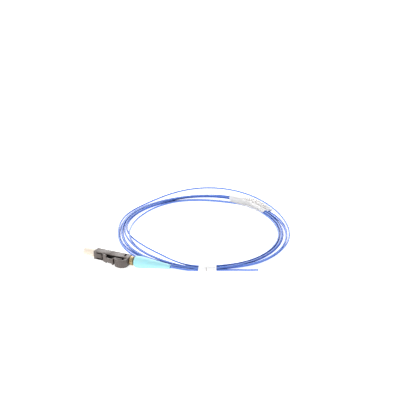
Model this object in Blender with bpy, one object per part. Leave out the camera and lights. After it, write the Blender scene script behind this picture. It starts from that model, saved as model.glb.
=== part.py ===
"""Fibre optic pigtail: an LC-type plug with its dust cap, and 2 m of 0.9 mm buffered fibre wound in a coil.

Units are metres, +Z is up. The floor is z = 0. The plug lies on its side along X, its nose towards -X and
its latch towards -Y. The origin is the middle of the plug's footprint on the floor.
"""
import math

import bmesh
import bpy
from mathutils import Vector

# Clearances
TOUCH_GAP = 0.0003          # pieces that touch in the real object
SLIDE_GAP = 0.0003          # round a piece that slides or turns in another

# Plug housing, the front black moulding
HOUSING_LENGTH = 0.0182
HOUSING_WIDTH = 0.0045      # across the flats, vertical as the plug lies
HOUSING_HEIGHT = 0.0046     # from the latch side to the back
HOUSING_EDGE = 0.00025      # chamfer of the nose
NOSE_BORE_DIAMETER = 0.0032
NOSE_BORE_DEPTH = 0.0040
NOSE_BLOCK_LENGTH = 0.0048  # solid root of the latch at the nose
CHANNEL_WALL = 0.00035      # walls beside the channel behind the nose block
CHANNEL_DEPTH = 0.0006
GROOVE_WIDTH = 0.0003       # grooves along both edges of the nose block
GROOVE_DEPTH = 0.0004
GROOVE_FRONT = 0.0014       # from the nose to the grooves
STEM_BORE_DIAMETER = 0.0028
SEAM_NOTCH_WIDTH = 0.0004   # notch across the housing's rear edge, away from the latch
SEAM_NOTCH_DEPTH = 0.0003

# Rear cap, the second black moulding, with the trigger
REAR_CAP_LENGTH = 0.0026
REAR_CAP_PROUD = 0.0011     # height of the trigger's post above the latch side

# Latch
LATCH_SLOT = 0.0011         # from the nose block to the lug
LUG_LENGTH = 0.0027
LUG_PROUD = 0.00175         # outer face of the lug above the latch side
LATCH_THICKNESS = 0.0008
NECK_THICKNESS = 0.00045
NECK_DEPTH = 0.00035        # inner face of the neck below the latch side
ARM_WIDTH = 0.0034
ARM_PROUD = 0.0027          # outer face of the arm at its bend
BEND_LENGTH = 0.0010
TAIL_LENGTH = 0.0043        # from the bend to the latch's free end
TAIL_PROUD = 0.00175        # outer face of the tail under the trigger
LATCH_TO_TRIGGER = 0.0004   # from the bend's foot to the trigger's front

# Trigger, a flexing arch over the latch's tail
TRIGGER_LENGTH = 0.0070
TRIGGER_PROUD = 0.0040     # crown of the arch above the latch side
TRIGGER_CROWN = 0.0035      # from its front end to its crown
TRIGGER_THICKNESS = 0.0008
TRIGGER_TIP_PROUD = 0.0023  # inner edge of its free front end

# Ferrule, crimp body and boot
FERRULE_DIAMETER = 0.00125
FERRULE_PROUD = 0.0018      # past the nose
FERRULE_LENGTH = 0.0105
STEM_DIAMETER = 0.0022
STEM_FRONT = 0.0072         # front end of the crimp body's stem, from the nose
COLLAR_DIAMETER = 0.0049
COLLAR_LENGTH = 0.0020
STEM_IN_BOOT = 0.0024
BOOT_LENGTH = 0.0204
BOOT_DIAMETER = 0.0063
BOOT_TIP_DIAMETER = 0.0023
BOOT_SHOULDER = 0.0016      # rounding of the big end
BOOT_STRAIGHT = 0.0022      # full-diameter stretch behind the shoulder
BOOT_TURN = math.radians(5.1)  # the soft boot leans towards the coil

# Dust cap
CAP_GRIP_DIAMETER = 0.0044
CAP_GRIP_LENGTH = 0.0072
CAP_DOME = 0.0013           # rounding of the outer end
CAP_SLEEVE_LENGTH = 0.0030
CAP_BORE_CLEARANCE = 0.0005  # past the ferrule's tip

# Fibre and coil
FIBRE_DIAMETER = 0.0009
COIL_RADIUS = 0.0440

# The bundle round the coil: angle in degrees, radius of its middle less COIL_RADIUS, width, underside, top
BUNDLE = (
    (-61, 0.0004, 0.0036, 0.0008, 0.0037),
    (-31, 0.0009, 0.0056, 0.0000, 0.0024),
    (-5, 0.0002, 0.0052, 0.0000, 0.0022),
    (24, -0.0001, 0.0050, 0.0000, 0.0024),
    (47, -0.0002, 0.0048, 0.0000, 0.0028),
    (60, -0.0002, 0.0048, 0.0008, 0.0034),
    (97, 0.0002, 0.0066, 0.0008, 0.0030),
    (112, 0.0006, 0.0084, 0.0000, 0.0022),
    (133, 0.0001, 0.0072, 0.0000, 0.0024),
    (159, -0.0003, 0.0056, 0.0000, 0.0026),
    (181, 0.0011, 0.0073, 0.0000, 0.0020),
    (209, 0.0002, 0.0066, 0.0000, 0.0020),
    (242, -0.0012, 0.0074, 0.0000, 0.0022),
    (262, -0.0020, 0.0062, 0.0000, 0.0024),
    (281, -0.0014, 0.0052, 0.0000, 0.0028),
)
BUNDLE_STATIONS = 72
BUNDLE_SIDES = 12

# The single turn that stands clear of the bundle at the back: angle in degrees, radius from the coil's centre
STRAY_TURN = (
    (159, 0.0471),
    (151, 0.0497),
    (139, 0.0545),
    (128, 0.0578),
    (119, 0.0603),
    (111, 0.0614),
    (102, 0.0604),
    (91, 0.0579),
    (79, 0.0543),
    (65, 0.0512),
    (51, 0.0495),
    (38, 0.0484),
    (25, 0.0480),
    (15, 0.0476),
    (6, 0.0469),
)
STRAY_POINTS = 46

# The single turn that cuts across inside the bundle at the front left
CHORD_TURN = (
    (-147, 0.0404),
    (-136, 0.0380),
    (-124, 0.0360),
    (-112, 0.0348),
    (-101, 0.0349),
    (-91, 0.0360),
    (-82, 0.0378),
    (-77, 0.0390),
)
CHORD_POINTS = 16

# The lead from the boot to the coil, chosen by hand: along the plug from its nose, across from its axis, height
LEAD_ROUTE = (
    (0.0424, 0.00168, 0.00370),
    (0.0442, 0.00184, 0.00375),
    (0.0458, 0.00215, 0.00360),
    (0.0474, 0.00300, 0.00310),
    (0.0490, 0.00435, 0.00240),
    (0.0506, 0.00580, 0.00175),
    (0.0522, 0.00710, 0.00125),
)
LEAD_POINTS = 8

# The tail's bare end past the tie, the same way
TAIL_ROUTE = (
    (0.0734, 0.0193, 0.00045),
    (0.0759, 0.0206, 0.00045),
    (0.0788, 0.0219, 0.00045),
    (0.0814, 0.0233, 0.00045),
    (0.0841, 0.0247, 0.00045),
)
TAIL_POINTS = 6

# Where the tie holds the coil, along the plug from its nose and across from its axis
TIE_PLACE = (0.06027, 0.01289)

# Tie and label round the coil
TIE_ANGLE = -61.0
TIE_WIDTH = 0.0091
TIE_THICKNESS = 0.0004
LABEL_ANGLE = 78.0
LABEL_LENGTH = 0.0275
LABEL_WIDTH = 0.0102
LABEL_HEIGHT = 0.0050
LABEL_THICKNESS = 0.0004

# Worked out from the sizes above
HALF_WIDTH = HOUSING_WIDTH / 2
LATCH_SIDE = -HOUSING_HEIGHT / 2
REAR_CAP_FRONT = HOUSING_LENGTH + TOUCH_GAP
REAR_CAP_REAR = REAR_CAP_FRONT + REAR_CAP_LENGTH
COLLAR_FRONT = REAR_CAP_REAR + TOUCH_GAP
COLLAR_REAR = COLLAR_FRONT + COLLAR_LENGTH
BOOT_FRONT = COLLAR_REAR + TOUCH_GAP
CAP_FRONT = -TOUCH_GAP - CAP_GRIP_LENGTH
BOOT_REST = BOOT_FRONT + BOOT_SHOULDER
CAP_REST = CAP_FRONT + CAP_DOME
TILT = math.atan((BOOT_DIAMETER - CAP_GRIP_DIAMETER) / 2 / (BOOT_REST - CAP_REST))
BOOT_TIP_X = BOOT_FRONT + BOOT_LENGTH * math.cos(BOOT_TURN)
BOOT_SIDE_Y = BOOT_DIAMETER / 2 * math.cos(BOOT_TURN) + (BOOT_SHOULDER + BOOT_STRAIGHT) * math.sin(BOOT_TURN)
PLUG_X = -(CAP_FRONT + BOOT_TIP_X) / 2
PLUG_Y = (HOUSING_HEIGHT / 2 + TRIGGER_PROUD - BOOT_SIDE_Y) / 2
PLUG_Z = BOOT_DIAMETER / 2 * math.cos(TILT) - BOOT_REST * math.sin(TILT)
TIE_DIRECTION = Vector((math.cos(math.radians(TIE_ANGLE)), math.sin(math.radians(TIE_ANGLE)), 0))
TIE_POINT = Vector((PLUG_X + TIE_PLACE[0], PLUG_Y + TIE_PLACE[1], 0))
COIL_CENTRE = TIE_POINT - TIE_DIRECTION * (COIL_RADIUS + BUNDLE[0][1])
LATCH_HINGE = Vector((NOSE_BLOCK_LENGTH, LATCH_SIDE + NECK_DEPTH / 2, 0))
LUG_FRONT = NOSE_BLOCK_LENGTH + LATCH_SLOT
LUG_REAR = LUG_FRONT + LUG_LENGTH
TRIGGER_REAR = REAR_CAP_REAR
TRIGGER_FRONT = TRIGGER_REAR - TRIGGER_LENGTH
TAIL_FRONT = TRIGGER_FRONT - LATCH_TO_TRIGGER
TAIL_REAR = TAIL_FRONT + TAIL_LENGTH
ARM_REAR = TAIL_FRONT - BEND_LENGTH
TRIGGER_HINGE = Vector((TRIGGER_REAR - TRIGGER_THICKNESS / 2, LATCH_SIDE - REAR_CAP_PROUD - TOUCH_GAP / 2, 0))


def clear_scene():
    for item in list(bpy.data.objects):
        bpy.data.objects.remove(item, do_unlink=True)


def material(name, colour, roughness, metallic=0.0):
    made = bpy.data.materials.new(name)
    made.use_nodes = True
    shader = made.node_tree.nodes["Principled BSDF"]
    shader.inputs["Base Color"].default_value = (*colour, 1.0)
    shader.inputs["Roughness"].default_value = roughness
    shader.inputs["Metallic"].default_value = metallic
    return made


def add_object(name, mesh, finish=None, parent=None):
    made = bpy.data.objects.new(name, mesh)
    bpy.context.scene.collection.objects.link(made)
    if finish:
        mesh.materials.append(finish)
    if parent:
        made.parent = parent
    return made


def add_empty(name, place=(0, 0, 0), rotation=(0, 0, 0), parent=None):
    made = add_object(name, None, parent=parent)
    made.location = place
    made.rotation_euler = rotation
    return made


def mesh_from(build):
    """Runs build(bm) on a fresh bmesh and returns the mesh, with its faces pointing out."""
    bm = bmesh.new()
    build(bm)
    bmesh.ops.recalc_face_normals(bm, faces=bm.faces)
    mesh = bpy.data.meshes.new("mesh")
    bm.to_mesh(mesh)
    bm.free()
    return mesh


def smooth(item, degrees=35):
    item.data.shade_smooth()
    item.data.set_sharp_from_angle(angle=math.radians(degrees))


def box_mesh(low, high):
    def build(bm):
        bmesh.ops.create_cube(bm, size=1.0)
        for vert in bm.verts:
            for axis in range(3):
                middle = (low[axis] + high[axis]) / 2
                vert.co[axis] = middle + vert.co[axis] * (high[axis] - low[axis])
    return mesh_from(build)


def slab_mesh(outline, half_width):
    """A flat outline in x and y, extruded from -half_width to +half_width along z."""
    def build(bm):
        low = [bm.verts.new((x, y, -half_width)) for x, y in outline]
        face = bm.faces.new(low)
        grown = bmesh.ops.extrude_face_region(bm, geom=[face])
        moved = [part for part in grown["geom"] if isinstance(part, bmesh.types.BMVert)]
        bmesh.ops.translate(bm, vec=(0, 0, 2 * half_width), verts=moved)
    return mesh_from(build)


def turned_mesh(profile, segments=32):
    """A closed profile of (x, radius) points, turned about the x axis."""
    def build(bm):
        rings = []
        for step in range(segments):
            angle = 2 * math.pi * step / segments
            ring = []
            for x, radius in profile:
                if radius == 0 and step > 0 and rings:
                    ring.append(rings[0][len(ring)])
                else:
                    ring.append(bm.verts.new((x, radius * math.cos(angle), radius * math.sin(angle))))
            rings.append(ring)
        count = len(profile)
        for step in range(segments):
            here = rings[step]
            there = rings[(step + 1) % segments]
            for i in range(count):
                j = (i + 1) % count
                corners = []
                for vert in (here[i], here[j], there[j], there[i]):
                    if vert not in corners:
                        corners.append(vert)
                if len(corners) > 2:
                    bm.faces.new(corners)
    return mesh_from(build)


def cut(item, mesh, name):
    """Cuts mesh out of item with a hidden cutter under the same parent."""
    cutter = add_object(name, mesh, parent=item.parent)
    cutter.location = item.location
    cutter.hide_render = True
    cutter.display_type = "WIRE"
    boolean = item.modifiers.new(name, "BOOLEAN")
    boolean.operation = "DIFFERENCE"
    boolean.solver = "EXACT"
    boolean.object = cutter


def arc(centre, radius, start, end, steps):
    """Points on an arc from start to end degrees."""
    points = []
    for step in range(steps + 1):
        angle = math.radians(start + (end - start) * step / steps)
        points.append((centre[0] + radius * math.cos(angle), centre[1] + radius * math.sin(angle)))
    return points


def smooth_path(points, count):
    """Count points, evenly spaced, on a smooth curve through the given ones."""
    points = [Vector(point) for point in points]
    fine = []
    for i in range(len(points) - 1):
        before = points[max(i - 1, 0)]
        start = points[i]
        end = points[i + 1]
        after = points[min(i + 2, len(points) - 1)]
        for step in range(16):
            t = step / 16
            slope_in = (end - before) / 2
            slope_out = (after - start) / 2
            fine.append(
                start * (2 * t ** 3 - 3 * t ** 2 + 1)
                + slope_in * (t ** 3 - 2 * t ** 2 + t)
                + end * (3 * t ** 2 - 2 * t ** 3)
                + slope_out * (t ** 3 - t ** 2)
            )
    fine.append(points[-1])
    reach = [0.0]
    for i in range(1, len(fine)):
        reach.append(reach[-1] + (fine[i] - fine[i - 1]).length)
    spaced = []
    i = 0
    for step in range(count):
        target = reach[-1] * step / (count - 1)
        while i < len(reach) - 2 and reach[i + 1] < target:
            i += 1
        share = (target - reach[i]) / (reach[i + 1] - reach[i])
        spaced.append(fine[i].lerp(fine[i + 1], share))
    return spaced


def tube(name, points, finish):
    """A plain round tube along the points, with filled ends."""
    curve = bpy.data.curves.new(name, "CURVE")
    curve.dimensions = "3D"
    curve.bevel_depth = FIBRE_DIAMETER / 2
    curve.bevel_resolution = 2
    curve.use_fill_caps = True
    spline = curve.splines.new("POLY")
    spline.points.add(len(points) - 1)
    for target, point in zip(spline.points, points):
        target.co = (*point, 1.0)
    return add_object(name, curve, finish)


# The plug's pieces are drawn in its own frame: x = 0 at the nose, y = 0 and z = 0 on the ferrule's axis

def add_housing(parent, finish):
    edge = HOUSING_EDGE
    outline = (
        (0, LATCH_SIDE + edge), (edge, LATCH_SIDE),
        (HOUSING_LENGTH, LATCH_SIDE), (HOUSING_LENGTH, -LATCH_SIDE),
        (edge, -LATCH_SIDE), (0, -LATCH_SIDE - edge),
    )
    housing = add_object("plug_housing", slab_mesh(outline, HALF_WIDTH), finish, parent)
    channel_half = HALF_WIDTH - CHANNEL_WALL
    channel = box_mesh(
        (NOSE_BLOCK_LENGTH, LATCH_SIDE - CHANNEL_DEPTH, -channel_half),
        (HOUSING_LENGTH + CHANNEL_DEPTH, LATCH_SIDE + CHANNEL_DEPTH, channel_half),
    )
    cut(housing, channel, "latch_channel")
    for side in (-1, 1):
        near = channel_half - GROOVE_WIDTH / 2
        groove = box_mesh(
            (GROOVE_FRONT, LATCH_SIDE - GROOVE_DEPTH, side * near - GROOVE_WIDTH / 2),
            (NOSE_BLOCK_LENGTH + GROOVE_DEPTH, LATCH_SIDE + GROOVE_DEPTH, side * near + GROOVE_WIDTH / 2),
        )
        cut(housing, groove, "nose_groove" + ("_low" if side < 0 else "_high"))
    notch = box_mesh(
        (HOUSING_LENGTH - SEAM_NOTCH_WIDTH, -HOUSING_WIDTH / 8, HALF_WIDTH - SEAM_NOTCH_DEPTH),
        (HOUSING_LENGTH + SEAM_NOTCH_WIDTH, HOUSING_HEIGHT, HALF_WIDTH + SEAM_NOTCH_DEPTH),
    )
    cut(housing, notch, "seam_notch")
    overrun = HOUSING_EDGE
    bore = turned_mesh((
        (-overrun, 0), (-overrun, NOSE_BORE_DIAMETER / 2),
        (NOSE_BORE_DEPTH, NOSE_BORE_DIAMETER / 2), (NOSE_BORE_DEPTH, STEM_BORE_DIAMETER / 2),
        (HOUSING_LENGTH + overrun, STEM_BORE_DIAMETER / 2), (HOUSING_LENGTH + overrun, 0),
    ))
    cut(housing, bore, "housing_bore")
    return housing


def add_rear_cap(parent, finish):
    post_front = REAR_CAP_REAR - REAR_CAP_PROUD
    outline = (
        (REAR_CAP_FRONT, LATCH_SIDE), (post_front, LATCH_SIDE),
        (post_front, LATCH_SIDE - REAR_CAP_PROUD), (REAR_CAP_REAR, LATCH_SIDE - REAR_CAP_PROUD),
        (REAR_CAP_REAR, -LATCH_SIDE), (REAR_CAP_FRONT, -LATCH_SIDE),
    )
    cap = add_object("rear_cap", slab_mesh(outline, HALF_WIDTH), finish, parent)
    overrun = HOUSING_EDGE
    bore = turned_mesh((
        (REAR_CAP_FRONT - overrun, 0), (REAR_CAP_FRONT - overrun, STEM_BORE_DIAMETER / 2),
        (REAR_CAP_REAR + overrun, STEM_BORE_DIAMETER / 2), (REAR_CAP_REAR + overrun, 0),
    ))
    cut(cap, bore, "rear_cap_bore")
    return cap


def about(hinge, outline):
    return [(x - hinge.x, y - hinge.y) for x, y in outline]


def add_latch(parent, finish):
    """The latch from its thin neck to its tail, drawn about the hinge where the neck leaves the nose block."""
    skin = LATCH_THICKNESS
    neck_front = NOSE_BLOCK_LENGTH + TOUCH_GAP
    neck_inner = LATCH_SIDE + NECK_DEPTH
    neck_outer = neck_inner - NECK_THICKNESS
    lug_outer = LATCH_SIDE - LUG_PROUD
    arm_outer = LATCH_SIDE - ARM_PROUD
    tail_outer = LATCH_SIDE - TAIL_PROUD
    outline = about(LATCH_HINGE, (
        (neck_front, neck_outer), (LUG_FRONT, neck_outer), (LUG_REAR, lug_outer), (ARM_REAR, arm_outer),
        (TAIL_FRONT, tail_outer), (TAIL_REAR, tail_outer), (TAIL_REAR, tail_outer + skin),
        (TAIL_FRONT - skin / 2, tail_outer + skin), (ARM_REAR - skin / 2, arm_outer + skin),
        (LUG_REAR, lug_outer + skin), (LUG_FRONT, neck_inner), (neck_front, neck_inner),
    ))
    latch = add_object("latch_arm", slab_mesh(outline, ARM_WIDTH / 2), finish, parent)
    latch.location = LATCH_HINGE
    lug_outline = about(LATCH_HINGE, (
        (LUG_FRONT, LATCH_SIDE - SLIDE_GAP), (LUG_FRONT, neck_outer - SLIDE_GAP), (LUG_REAR, lug_outer),
        (LUG_REAR, lug_outer + skin),
    ))
    lug = add_object("latch_lug_shape", slab_mesh(lug_outline, HALF_WIDTH), parent=parent)
    lug.location = LATCH_HINGE
    lug.hide_render = True
    lug.display_type = "WIRE"
    union = latch.modifiers.new("lug", "BOOLEAN")
    union.operation = "UNION"
    union.solver = "EXACT"
    union.object = lug
    return latch


def add_trigger(parent, finish):
    """The arch over the latch's tail, drawn about the hinge at its root on the rear cap."""
    skin = TRIGGER_THICKNESS
    crown_x = TRIGGER_FRONT + TRIGGER_CROWN
    root_proud = REAR_CAP_PROUD + TOUCH_GAP
    steps = 6

    def arch(inset):
        """Front quarter and rear quarter of the arch, from its front end to its root."""
        quarters = (
            (TRIGGER_CROWN - inset, TRIGGER_PROUD - TRIGGER_TIP_PROUD - inset, TRIGGER_TIP_PROUD, -1),
            (TRIGGER_REAR - crown_x - inset, TRIGGER_PROUD - root_proud - inset, root_proud, 1),
        )
        points = []
        for reach, rise, base, side in quarters:
            for step in range(steps + 1):
                turn = math.pi / 2 * (step if side < 0 else steps - step) / steps
                points.append((crown_x + side * reach * math.cos(turn), LATCH_SIDE - base - rise * math.sin(turn)))
        return points[:steps] + points[steps + 1:]

    outline = about(TRIGGER_HINGE, arch(0) + arch(skin)[::-1])
    trigger = add_object("trigger", slab_mesh(outline, HALF_WIDTH), finish, parent)
    trigger.location = TRIGGER_HINGE
    return trigger


def add_ferrule(parent, finish):
    radius = FERRULE_DIAMETER / 2
    edge = radius / 4
    profile = (
        (-FERRULE_PROUD, 0), (-FERRULE_PROUD, radius - edge), (-FERRULE_PROUD + edge, radius),
        (FERRULE_LENGTH - FERRULE_PROUD, radius), (FERRULE_LENGTH - FERRULE_PROUD, 0),
    )
    ferrule = add_object("ferrule", turned_mesh(profile, 24), finish, parent)
    smooth(ferrule)
    return ferrule


def add_crimp_body(parent, finish):
    stem = STEM_DIAMETER / 2
    seat = FERRULE_DIAMETER / 2 + TOUCH_GAP
    seat_end = FERRULE_LENGTH - FERRULE_PROUD + TOUCH_GAP
    stem_rear = COLLAR_REAR + STEM_IN_BOOT
    profile = (
        (STEM_FRONT, seat), (STEM_FRONT, stem), (COLLAR_FRONT, stem),
        (COLLAR_FRONT, COLLAR_DIAMETER / 2), (COLLAR_REAR, COLLAR_DIAMETER / 2),
        (COLLAR_REAR, stem), (stem_rear, stem), (stem_rear, 0), (seat_end, 0), (seat_end, seat),
    )
    body = add_object("crimp_body", turned_mesh(profile), finish, parent)
    smooth(body)
    return body


def add_boot(parent, finish):
    big = BOOT_DIAMETER / 2
    tip = BOOT_TIP_DIAMETER / 2
    cavity = STEM_DIAMETER / 2 + TOUCH_GAP
    cavity_end = COLLAR_REAR + STEM_IN_BOOT + TOUCH_GAP
    bore = FIBRE_DIAMETER / 2 + SLIDE_GAP
    shoulder_centre = (BOOT_FRONT + BOOT_SHOULDER, big - BOOT_SHOULDER)
    profile = [(BOOT_FRONT, cavity)]
    profile += arc(shoulder_centre, BOOT_SHOULDER, 180, 90, 6)
    profile += [(BOOT_FRONT + BOOT_SHOULDER + BOOT_STRAIGHT, big)]
    boot_end = BOOT_FRONT + BOOT_LENGTH
    profile += [(boot_end, tip), (boot_end, bore), (cavity_end, bore), (cavity_end, cavity)]
    profile = [(x - BOOT_FRONT, radius) for x, radius in profile]
    boot = add_object("boot", turned_mesh(profile), finish, parent)
    boot.location.x = BOOT_FRONT
    boot.rotation_euler.z = BOOT_TURN
    smooth(boot)
    return boot


def add_dust_cap(parent, finish):
    grip = CAP_GRIP_DIAMETER / 2
    sleeve = NOSE_BORE_DIAMETER / 2 - SLIDE_GAP
    bore = FERRULE_DIAMETER / 2 + SLIDE_GAP
    bore_end = -FERRULE_PROUD - CAP_BORE_CLEARANCE
    profile = [(CAP_FRONT, 0)]
    profile += arc((CAP_FRONT + CAP_DOME, grip - CAP_DOME), CAP_DOME, 180, 90, 6)
    profile += [
        (-TOUCH_GAP, grip), (-TOUCH_GAP, sleeve), (CAP_SLEEVE_LENGTH, sleeve),
        (CAP_SLEEVE_LENGTH, bore), (bore_end, bore), (bore_end, 0),
    ]
    cap = add_object("dust_cap", turned_mesh(profile), finish, parent)
    smooth(cap)
    return cap


# The coil

def bundle_at(degrees):
    """Radius of the bundle's middle, width, underside and top at an angle, by a smooth curve through BUNDLE."""
    count = len(BUNDLE)
    degrees = (degrees - BUNDLE[0][0]) % 360 + BUNDLE[0][0]
    index = max(i for i in range(count) if BUNDLE[i][0] <= degrees)
    start = BUNDLE[index]
    end = BUNDLE[(index + 1) % count]
    span = (end[0] - start[0]) % 360
    share = (degrees - start[0]) / span
    share = share * share * (3 - 2 * share)
    offset, width, low, high = (start[i] + (end[i] - start[i]) * share for i in (1, 2, 3, 4))
    return COIL_RADIUS + offset, width, low, high


def on_coil(degrees, radius, height):
    angle = math.radians(degrees)
    return COIL_CENTRE + Vector((radius * math.cos(angle), radius * math.sin(angle), height))


def oval_ring(bm, degrees, middle, half_width, low, high):
    """One closed oval section of the coil, standing across it."""
    ring = []
    for step in range(BUNDLE_SIDES):
        turn = 2 * math.pi * step / BUNDLE_SIDES
        radius = middle + half_width * math.cos(turn)
        height = (low + high) / 2 + (high - low) / 2 * math.sin(turn)
        ring.append(bm.verts.new(on_coil(degrees, radius, height)))
    return ring


def join_rings(bm, first, second):
    for i in range(len(first)):
        j = (i + 1) % len(first)
        bm.faces.new((first[i], first[j], second[j], second[i]))


def add_coil(finish):
    def build(bm):
        rings = []
        for step in range(BUNDLE_STATIONS):
            degrees = 360 * step / BUNDLE_STATIONS
            middle, width, low, high = bundle_at(degrees)
            rings.append(oval_ring(bm, degrees, middle, width / 2, low, high))
        for step in range(BUNDLE_STATIONS):
            join_rings(bm, rings[step], rings[(step + 1) % BUNDLE_STATIONS])
    coil = add_object("fibre_coil", mesh_from(build), finish)
    smooth(coil)
    return coil


def add_wrap(name, angle, length, section, thickness, finish, steps):
    """A band round the coil: section(degrees) gives the middle radius, half width, low and high of its inside."""
    half_turn = math.degrees(length / 2 / COIL_RADIUS)

    def build(bm):
        outer = []
        inner = []
        for step in range(steps + 1):
            degrees = angle - half_turn + 2 * half_turn * step / steps
            middle, half_width, low, high = section(degrees)
            inner.append(oval_ring(bm, degrees, middle, half_width, low, high))
            outer.append(oval_ring(bm, degrees, middle, half_width + thickness, low - thickness, high + thickness))
        for rings in (outer, inner):
            for step in range(steps):
                join_rings(bm, rings[step], rings[step + 1])
        join_rings(bm, outer[0], inner[0])
        join_rings(bm, outer[-1], inner[-1])
    wrap = add_object(name, mesh_from(build), finish)
    smooth(wrap)
    return wrap


def tie_section(degrees):
    middle, width, low, high = bundle_at(degrees)
    return middle, width / 2 + TOUCH_GAP, TIE_THICKNESS, high + TOUCH_GAP


def label_section(degrees):
    middle = bundle_at(degrees)[0]
    return middle, LABEL_WIDTH / 2 - LABEL_THICKNESS, LABEL_THICKNESS, LABEL_HEIGHT - LABEL_THICKNESS


def turn_points(turn, count):
    """Points along a stretch of fibre on the floor, given by angle and radius round the coil's centre."""
    return smooth_path([on_coil(degrees, radius, FIBRE_DIAMETER / 2) for degrees, radius in turn], count)


def from_plug(route):
    """A route given along and across the plug, in the model's own frame."""
    return [Vector((PLUG_X + along, PLUG_Y + across, height)) for along, across, height in route]


def main():
    clear_scene()
    black = material("black_plastic", (0.03, 0.028, 0.027), 0.5)
    ceramic = material("zirconia", (0.92, 0.91, 0.88), 0.15)
    brass = material("brass", (0.62, 0.50, 0.28), 0.3, 1.0)
    aqua = material("aqua_boot", (0.45, 0.85, 0.92), 0.5)
    cream = material("cap_plastic", (0.95, 0.88, 0.78), 0.35)
    blue = material("blue_buffer", (0.13, 0.27, 0.80), 0.4)
    white = material("white_tape", (0.93, 0.93, 0.93), 0.6)
    paper = material("label_film", (0.93, 0.92, 0.92), 0.45)

    plug = add_empty("plug_axis", (PLUG_X, PLUG_Y, PLUG_Z), (0, -TILT, 0))
    add_housing(plug, black)
    add_rear_cap(plug, black)
    add_latch(plug, black)
    add_trigger(plug, black)
    add_ferrule(plug, ceramic)
    add_crimp_body(plug, brass)
    add_boot(plug, aqua)
    add_dust_cap(plug, cream)

    add_coil(blue)
    tube("fibre_lead", smooth_path(from_plug(LEAD_ROUTE), LEAD_POINTS), blue)
    tube("fibre_tail", smooth_path(from_plug(TAIL_ROUTE), TAIL_POINTS), blue)
    tube("fibre_stray_turn", turn_points(STRAY_TURN, STRAY_POINTS), blue)
    tube("fibre_chord_turn", turn_points(CHORD_TURN, CHORD_POINTS), blue)
    add_wrap("tie_band", TIE_ANGLE, TIE_WIDTH, tie_section, TIE_THICKNESS, white, 6)
    add_wrap("label_sleeve", LABEL_ANGLE, LABEL_LENGTH, label_section, LABEL_THICKNESS, paper, 12)


main()
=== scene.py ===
"""Dresses the packed fibre optic pigtail: plug pieces, the fibre as one wound cord, tie, label and materials.

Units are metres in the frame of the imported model: the plug lies along X with its latch towards -Y, and the
floor is z = 0.
"""
import math

import bmesh
import bpy
from mathutils import Matrix, Vector


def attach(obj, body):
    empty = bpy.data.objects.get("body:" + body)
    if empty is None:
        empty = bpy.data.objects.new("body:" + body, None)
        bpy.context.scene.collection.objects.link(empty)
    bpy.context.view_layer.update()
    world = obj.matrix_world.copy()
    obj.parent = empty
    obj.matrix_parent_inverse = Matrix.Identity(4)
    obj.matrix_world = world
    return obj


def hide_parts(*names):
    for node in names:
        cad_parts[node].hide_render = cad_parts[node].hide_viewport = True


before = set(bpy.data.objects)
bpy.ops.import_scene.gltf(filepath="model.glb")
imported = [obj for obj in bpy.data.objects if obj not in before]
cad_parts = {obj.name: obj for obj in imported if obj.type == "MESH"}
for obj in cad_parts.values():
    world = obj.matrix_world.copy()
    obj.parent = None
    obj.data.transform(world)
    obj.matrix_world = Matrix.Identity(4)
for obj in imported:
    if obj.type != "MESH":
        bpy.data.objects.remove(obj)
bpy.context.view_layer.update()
MM = 0.001

# Sizes of the plug, as the part has them
TOUCH_GAP = 0.3 * MM
HOUSING_LENGTH = 18.2 * MM
HOUSING_WIDTH = 4.5 * MM
HOUSING_HEIGHT = 4.6 * MM
NOSE_BLOCK_LENGTH = 4.8 * MM
CHANNEL_WALL = 0.35 * MM
NOSE_BORE_DIAMETER = 3.2 * MM
REAR_CAP_LENGTH = 2.6 * MM
REAR_CAP_PROUD = 1.1 * MM
LATCH_SLOT = 1.1 * MM
LUG_LENGTH = 2.7 * MM
LUG_PROUD = 1.75 * MM
LATCH_THICKNESS = 0.8 * MM
NECK_THICKNESS = 0.45 * MM
TAIL_LENGTH = 4.3 * MM
TAIL_PROUD = 1.75 * MM
LATCH_TO_TRIGGER = 0.4 * MM
TRIGGER_LENGTH = 7.0 * MM
TRIGGER_PROUD = 4.0 * MM
TRIGGER_CROWN = 3.5 * MM
TRIGGER_THICKNESS = 0.8 * MM
TRIGGER_TIP_PROUD = 2.3 * MM
STEM_DIAMETER = 2.2 * MM
COLLAR_DIAMETER = 4.9 * MM
COLLAR_LENGTH = 2.0 * MM
STEM_IN_BOOT = 2.4 * MM
BOOT_LENGTH = 20.4 * MM
BOOT_DIAMETER = 6.3 * MM
BOOT_TIP_DIAMETER = 2.3 * MM
BOOT_SHOULDER = 1.6 * MM
BOOT_STRAIGHT = 2.2 * MM
BOOT_TURN = math.radians(5.1)
CAP_GRIP_DIAMETER = 4.4 * MM
CAP_GRIP_LENGTH = 7.2 * MM
CAP_DOME = 1.3 * MM
CAP_SLEEVE_LENGTH = 3.0 * MM
FERRULE_DIAMETER = 1.25 * MM
FERRULE_PROUD = 1.8 * MM
CAP_BORE_CLEARANCE = 0.5 * MM

# Fibre, tie and label, as the part has them
FIBRE_DIAMETER = 0.9 * MM
COIL_RADIUS = 44.0 * MM
TIE_PLACE = (60.27 * MM, 12.89 * MM)
TIE_ANGLE = -61.0
TIE_OFFSET = 0.4 * MM
TIE_WIDTH = 9.1 * MM
LABEL_ANGLE = 78.0
LABEL_LENGTH = 27.5 * MM
LABEL_HEIGHT = 5.0 * MM

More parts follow.
